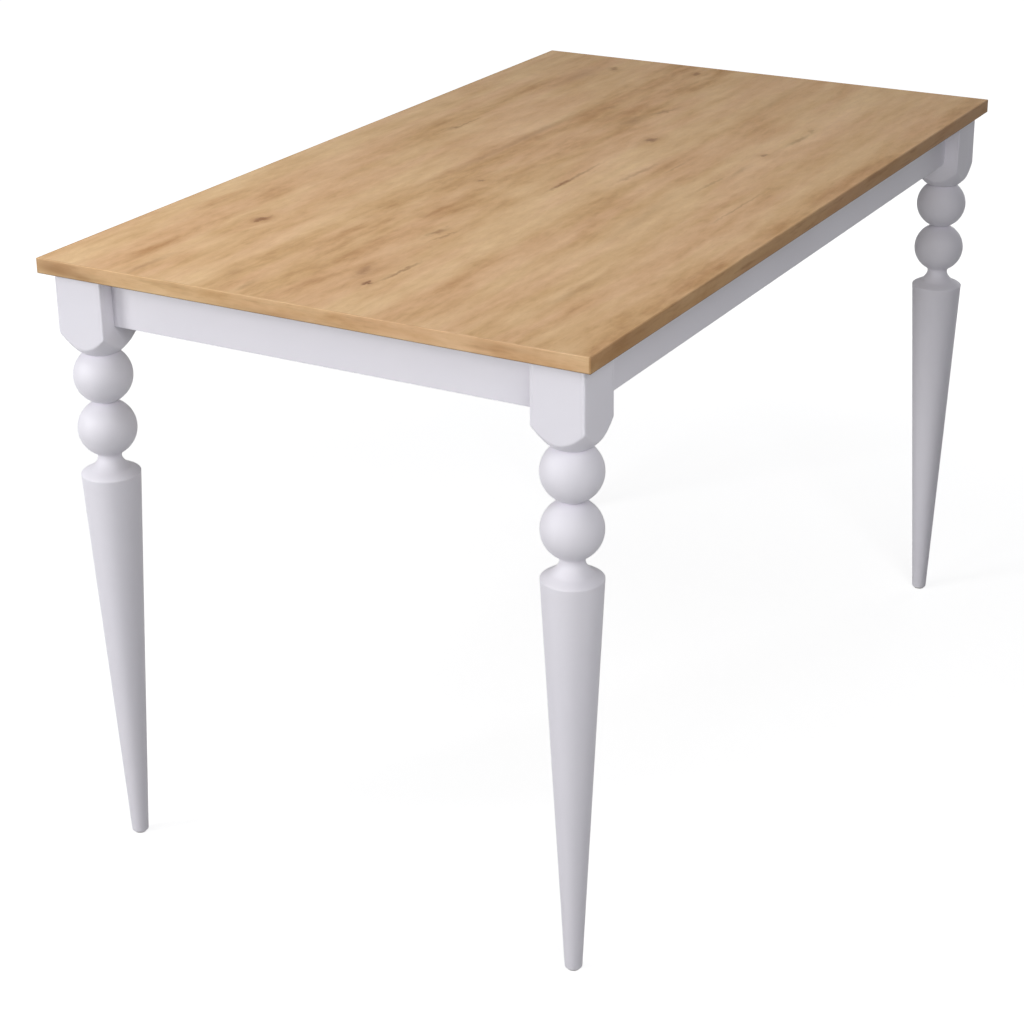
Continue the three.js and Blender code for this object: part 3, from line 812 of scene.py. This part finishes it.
def between(low, high):
    """A box between two corners."""
    form = bmesh.new()
    bmesh.ops.create_cube(form, size=1)
    low, high = Vector(low), Vector(high)
    bmesh.ops.scale(form, vec=high - low, verts=form.verts)
    bmesh.ops.translate(form, vec=(low + high) / 2, verts=form.verts)
    return form


def outer(edge):
    """Whether an edge of a band shows round the outside of the table."""
    middle = (edge.verts[0].co + edge.verts[1].co) / 2
    beyond = [abs(middle.x) > cad_box[1][0] - SEAM, abs(middle.y) > cad_box[1][1] - SEAM]
    standing = abs(edge.verts[0].co.z - edge.verts[1].co.z) > SEAM
    return all(beyond) if standing else any(beyond)


for number, side in enumerate(SIDES):
    band = between(*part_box("edge_band_" + side))
    ease(band, [edge for edge in band.edges if outer(edge)], BAND_ARRIS, 5)
    piece = finished("oak_band_" + side, band, band_finishes[number % 2], "oak_band", "edge_band_" + side)
    keep_flats_flat(piece)
print("Each band is bevelled to", len(piece.data.polygons), "faces")

# %% [markdown]
# ## Zinc
# Brackets, bolts and screws are zinc plated: a cool bright metal, softly clouded, with fine drawing marks. The
# clouding drives the roughness, because on metal the eye reads a change of gloss before a change of colour.
# %% Zinc
ZINC_TINTS = (colour(186, 190, 196), colour(208, 208, 204))
ZINC_ROUGHNESS = (0.26, 0.42)


def bright_zinc():
    """Clouded zinc with marks drawn out along Z."""
    make = Finish(bpy.data.materials.new("bright zinc"))
    x, y, z = make.place()
    clouds = make.noise(x * 55, y * 55, z * 55, detail=3)
    drawn = make.noise(x * 900, y * 900, z * 120)
    return make.surface(
        Base_Color=make.blend(clouds, *ZINC_TINTS),
        Metallic=1,
        Roughness=make.fade(clouds, 0.3, 0.7, *ZINC_ROUGHNESS),
        Normal=make.bump(drawn, 0.2, 0.02),
    )


zinc = bright_zinc()
brackets = [node for name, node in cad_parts.items() if name.startswith(("corner_bracket", "top_bracket"))]
for bracket in brackets:
    bracket.data.materials.clear()
    bracket.data.materials.append(zinc)
print(len(brackets), "pressed brackets keep their measured shape and get the zinc")

# %% [markdown]
# ## The hanger bolt
# A hanger bolt is half wood screw, hidden in the leg, and half machine thread, for the nut. A bump could fake
# the thread, but its outline would stay smooth. A real one is one tooth of an outline that climbs as it turns,
# so spin is given a step along the axis as well as an angle. The ends are cut square with a plane and closed.
# %% The hanger bolt
THREAD = {"core": 3.35, "crest": 4, "pitch": 1.25, "start": 34, "end": 61.97, "segments": 24}
BOLT_START = -18.03
END_TAPER = 0.84


def threaded_rod(core, crest, pitch, start, end, segments):
    """A rod with a real thread between two heights."""
    form = bmesh.new()
    tooth = [(core, 0), (crest, 0.42), (crest, 0.55), (core, 0.97), (core, 1)]
    chain = [form.verts.new((radius * MM, 0, (start + (share - 2) * pitch) * MM)) for radius, share in tooth]
    edges = [form.edges.new(pair) for pair in zip(chain, chain[1:])]
    turns = math.ceil((end - start) / pitch) + 4
    bmesh.ops.spin(form, geom=chain + edges, cent=(0, 0, 0), axis=(0, 0, 1),
                   dvec=(0, 0, pitch / segments * MM), angle=turns * 2 * math.pi, steps=turns * segments,
                   use_merge=False, use_duplicate=False)
    bmesh.ops.remove_doubles(form, verts=form.verts, dist=MERGED_POINT)
    for height, normal in ((start, (0, 0, -1)), (end, (0, 0, 1))):
        everything = form.verts[:] + form.edges[:] + form.faces[:]
        bmesh.ops.bisect_plane(form, geom=everything, dist=SAME_POINT, plane_co=(0, 0, height * MM),
                               plane_no=normal, clear_outer=True)
    bmesh.ops.holes_fill(form, edges=[edge for edge in form.edges if edge.is_boundary], sides=0)
    return form


def end_face(form, height):
    """The flat end of a threaded rod at a height. Only its two ends have many corners."""
    ends = [face for face in form.faces if len(face.verts) > 8]
    return min(ends, key=lambda face: abs(face.calc_center_median().z - height * MM))


def hanger_bolt():
    """The thread with a tapered outer end, and its inner end drawn out into the leg."""
    form = threaded_rod(**THREAD)
    outer_end = end_face(form, THREAD["end"])
    bmesh.ops.scale(form, vec=(END_TAPER, END_TAPER, 1), verts=outer_end.verts)
    drawn_out = bmesh.ops.extrude_face_region(form, geom=[end_face(form, THREAD["start"])])["geom"]
    moved = [item for item in drawn_out if isinstance(item, bmesh.types.BMVert)]
    bmesh.ops.translate(form, vec=(0, 0, (BOLT_START - THREAD["start"]) * MM), verts=moved)
    return form


bolt = hanger_bolt()
print("A bolt has", len(bolt.faces), "faces, nearly all of them in its thread")

# %% [markdown]
# ## Washer and nut
# Both are turned first, the nut with its two cone chamfers. The nut could be an extruded hexagon, but the
# curved edges where cone and flat meet are what makes it a nut. So it is pressed to a hexagon, as the legs are
# pressed to a square.
# %% Washer and nut
WASHER_OUTLINE = [(4.3, 0.2), (4.5, 0), (8.2, 0), (8.43, 0.09), (8.5, 0.3), (8.5, 1.3), (8.43, 1.51),
                  (8.2, 1.6), (4.5, 1.6), (4.3, 1.4), (4.3, 0.2)]
NUT_CHAMFER = [(4.2, 0.6), (4.8, 0), (6.3, 0), (6.6, 0.18), (6.9, 0.36), (7.2, 0.54), (7.5, 0.72), (7.6, 0.8)]
NUT_THICKNESS = 6.5
NUT_ACROSS = 13
NUT_ARRIS = 0.25
NUT_EDGE = 0.2


def nut_limit(radius, angle, height):
    """The turned nut or the hexagon, whichever is nearer the axis."""
    return nearer(radius, bar_radius(angle, 6, NUT_ACROSS / 2, NUT_ARRIS), NUT_EDGE)


washer = turned([Vector(at) for at in WASHER_OUTLINE], 64)
nut_outline = NUT_CHAMFER + [(radius, NUT_THICKNESS - height) for radius, height in reversed(NUT_CHAMFER)]
nut = turned([Vector(at) for at in nut_outline + nut_outline[:1]], 96)
press(nut, 6, nut_limit, -1)
print("A nut has", len(nut.faces), "faces")

# %% [markdown]
# ## Bolts in their corners
# Bolt, washer and nut share one axis, which runs from the leg towards the middle of the table. They could be
# placed one by one from their measured boxes, but a box of a part that lies askew says little. So each is made
# upright, laid along that axis at its distance from the leg's middle, and turned into its corner.
# %% Bolts in their corners
FIXING_HEIGHT = 701.5
WASHER_START = 47.57
NUT_START = 49.47
ON_THE_BOLT = (
    ("threaded_bolt_", bolt, 0, "hanger_bolt_"),
    ("flat_washer_", washer, WASHER_START, "washer_"),
    ("hexagon_nut_", nut, NUT_START, "nut_"),
)


def onto_bolt(form, start, corner):
    """Lays an upright form along the bolt of a corner, at a distance from the leg's axis."""
    inward = Matrix.Rotation(math.pi / 4, 4, "Z") @ Matrix.Rotation(math.pi / 2, 4, "Y")
    lift = Matrix.Translation((0, 0, FIXING_HEIGHT * MM))
    along = Matrix.Translation((0, 0, start * MM))
    bmesh.ops.transform(form, matrix=lift @ inward @ along, verts=form.verts)
    return in_corner(form, corner)


for corner in CORNERS:
    for name, form, start, node in ON_THE_BOLT:
        finished(name + corner, onto_bolt(form.copy(), start, corner), zinc, "zinc", node + corner)
print("Each of", len(CORNERS), "corners has", len(ON_THE_BOLT), "parts on its bolt's axis")

# %% [markdown]
# ## Wood screws
# Twenty small pan-head screws hold the brackets. The measured box of each screw tells where it sits and which
# way it points. The cross in its head could be cut with a Boolean, but it is turned too: two rings inside the
# head are pressed to a cross, the deeper one smaller, so that the recess narrows as a real one does.
# %% Wood screws
SCREW_OUTLINE = [(0, -0.7), (1.5, -1.0), (2.1, -2.14), (2.4, -2.17), (3.1, -1.9), (3.55, -1.35), (3.78, -0.7),
                 (3.8, -0.2), (3.65, 0), (1.8, 0), (1.8, 10), (0.9, 12), (0, 14)]
SCREW_HEAD = 2.2
CROSS_REACH = 2.1
CROSS_HALF_WIDTH = 0.45
CROSS_FLOOR = -0.9
BARELY = 0.01


def cross_limit(radius, angle, height):
    """Presses the rings inside the head to a cross."""
    if radius > CROSS_REACH + BARELY or height > CROSS_FLOOR:
        return radius
    turn = abs((angle + math.pi / 4) % (math.pi / 2) - math.pi / 4)
    return radius * min(1, CROSS_HALF_WIDTH / max(CROSS_REACH * math.sin(turn), BARELY))


def screw_place(node):
    """Where the head of a measured screw sits, and the direction in which it points."""
    low, high = (Vector(corner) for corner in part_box(node))
    size = high - low
    axis = max(range(3), key=lambda number: size[number])
    direction = Vector((0, 0, 0))
    middle = (low + high) / 2
    direction[axis] = 1 if axis == 2 or middle[axis] > 0 else -1
    return middle + direction * (SCREW_HEAD * MM - size[axis] / 2), direction


screws = [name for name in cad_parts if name.startswith(("bracket_screw", "top_screw", "side_screw"))]
screw = turned([Vector(at) for at in SCREW_OUTLINE], 48)
press(screw, 4, cross_limit, -3, crowding=0)
for name in screws:
    seat, direction = screw_place(name)
    turn = Vector((0, 0, 1)).rotation_difference(direction).to_matrix().to_4x4()
    form = screw.copy()
    bmesh.ops.transform(form, matrix=Matrix.Translation(seat) @ turn, verts=form.verts)
    finished("pan_head_" + name, form, zinc, "zinc", name)
print(len(screws), "screws are in")

# %% [markdown]
# ## Glides
# A small plastic glide is nailed under each foot and carries the table on the floor. A cylinder with a bevel
# would do for the disc, but the nail belongs to it. So it is one more turned part: a disc with a rounded lower
# edge and its nail.
# %% Four glides
GLIDE_TINTS = (colour(212, 210, 206), colour(226, 225, 221))
GLIDE_ROUGHNESS = (0.48, 0.62)
GLIDE_RADIUS = 7.4
GLIDE_ARRIS = 0.8
NAIL_RADIUS = 1
NAIL_TOP = 14


def glide_plastic():
    """Moulded plastic with a fine grain."""
    make = Finish(bpy.data.materials.new("off-white plastic"))
    x, y, z = make.place()
    clouds = make.noise(x * 300, y * 300, z * 300)
    return make.surface(
        Base_Color=make.blend(clouds, *GLIDE_TINTS),
        Roughness=make.fade(clouds, 0.3, 0.7, *GLIDE_ROUGHNESS),
        Normal=make.bump(clouds, 0.3, 0.03),
    )


plastic = glide_plastic()
glide_outline = [
    Vector((0, 0)),
    *arc(Vector((GLIDE_RADIUS - GLIDE_ARRIS, GLIDE_ARRIS)), GLIDE_ARRIS, -math.pi / 2, 0, 5),
    Vector((GLIDE_RADIUS, GLIDE_THICKNESS)),
    Vector((NAIL_RADIUS, GLIDE_THICKNESS)),
    Vector((NAIL_RADIUS, NAIL_TOP)),
    Vector((0, NAIL_TOP)),
]
for corner in CORNERS:
    form = in_corner(turned(glide_outline, 48), corner)
    finished("glide_" + corner, form, plastic, "glide_plastic", "foot_glide_" + corner)
print("Each glide is", 2 * GLIDE_RADIUS, "mm across")

# %% [markdown]
# ## Floor and background
# The table stands on a plain pale floor in a white studio. More light would bleach the paint, so white comes
# from what the camera and shiny surfaces see: for those rays the world is white and the floor adds a white of
# its own. Near the table the floor adds less, so that its soft shadow stays, and further out it fades to the
# background. For light that bounces, the world is a weak cool fill.
# %% Floor and background
WHITE = (1, 1, 1, 1)
BLACK = (0, 0, 0, 1)
FLOOR_TINTS = (colour(172, 172, 173), colour(176, 176, 176))
FLOOR_SIZE = 60
OWN_WHITE_NEAR = 0.82
OWN_WHITE_FAR = 1
NEAR_SQUARED = 0.7
FAR_SQUARED = 3.5
FILL = (0.05, 0.053, 0.062, 1)


def seen(make):
    """1 for rays from the camera and from shiny or clear surfaces, and 0 for light that bounces."""
    ray = make.add("LightPath")
    shown = make.math("MAXIMUM", ray["Is Camera Ray"], ray["Is Glossy Ray"])
    return make.math("MAXIMUM", shown, ray["Is Transmission Ray"])


def studio_floor():
    """Grey for the light, and nearly white for the eye."""
    make = Finish(bpy.data.materials.new("studio floor"))
    x, y, _ = make.place()
    clouds = make.noise(x * 2, y * 2, 0)
    own_white = make.fade(x * x + y * y, NEAR_SQUARED, FAR_SQUARED, OWN_WHITE_NEAR, OWN_WHITE_FAR)
    return make.surface(
        Base_Color=make.blend(clouds, *FLOOR_TINTS),
        Roughness=0.9,
        Specular_IOR_Level=0,
        Emission_Color=make.blend(seen(make) * own_white, BLACK, WHITE),
        Emission_Strength=1,
    )


floor_form = bmesh.new()
bmesh.ops.create_grid(floor_form, x_segments=1, y_segments=1, size=FLOOR_SIZE / 2)
floor_mesh = bpy.data.meshes.new("studio_floor")
floor_form.to_mesh(floor_mesh)
floor_form.free()
floor_mesh.materials.append(studio_floor())
floor = bpy.data.objects.new("studio_floor", floor_mesh)
bpy.context.scene.collection.objects.link(floor)

world = bpy.data.worlds.new("studio")
bpy.context.scene.world = world
make = Finish(world)
shown = make.blend(seen(make), FILL, WHITE)
sky = make.add("Background", {}, {"Color": shown, "Strength": 1})["Background"]
make.add("OutputWorld", {}, {"Surface": sky})
print("The floor is", round(floor.dimensions.x), "m across")

# %% [markdown]
# ## Light
# In the photograph the light comes softly from windows at the back left and further to the left. Point lamps
# or a sun would throw hard shadows, so each lamp is a square soft box, which lights like a window or a white
# reflector. Two reflectors in front and a weak fill on the right open the shaded sides of the legs, and two
# lamps above even out the top.
# %% Lamps
def soft_lamp(name, place, aim, size, power):
    """A square soft box that faces a point."""
    lamp = bpy.data.lights.new(name, "AREA")
    lamp.size = size
    lamp.energy = power
    obj = bpy.data.objects.new(name, lamp)
    bpy.context.scene.collection.objects.link(obj)
    obj.location = place
    obj.rotation_euler = (Vector(aim) - Vector(place)).to_track_quat("-Z", "Y").to_euler()
    return obj


lamps = [
    # name, place, aim, size in metres, power in watts
    soft_lamp("window at the back left", (-2.4, 2.0, 1.5), (-0.3, 0, 0.6), 1, 35.5),
    soft_lamp("far window on the left", (-6, 1.7, 1.7), (-0.3, 0, 0.5), 1.8, 69),
    soft_lamp("reflector in front", (-1.5, -1.5, 1.1), (-0.2, 0, 0.5), 1.2, 7),
    soft_lamp("high reflector in front", (-1.7, -1.7, 2.1), (-0.2, 0, 0.5), 1.2, 15.4),
    soft_lamp("weak fill on the right", (3, -0.7, 1.3), (0.4, 0, 0.5), 1.6, 8.5),
    soft_lamp("lamp over the left end", (-0.7, 0.5, 1.7), (-0.5, 0.2, 0.7), 0.6, 4.6),
    soft_lamp("lamp over the table", (0.3, 0, 2.8), (0.2, 0, 0.7), 1.6, 10),
]
print(len(lamps), "soft lamps give", round(sum(lamp.data.energy for lamp in lamps)), "W")
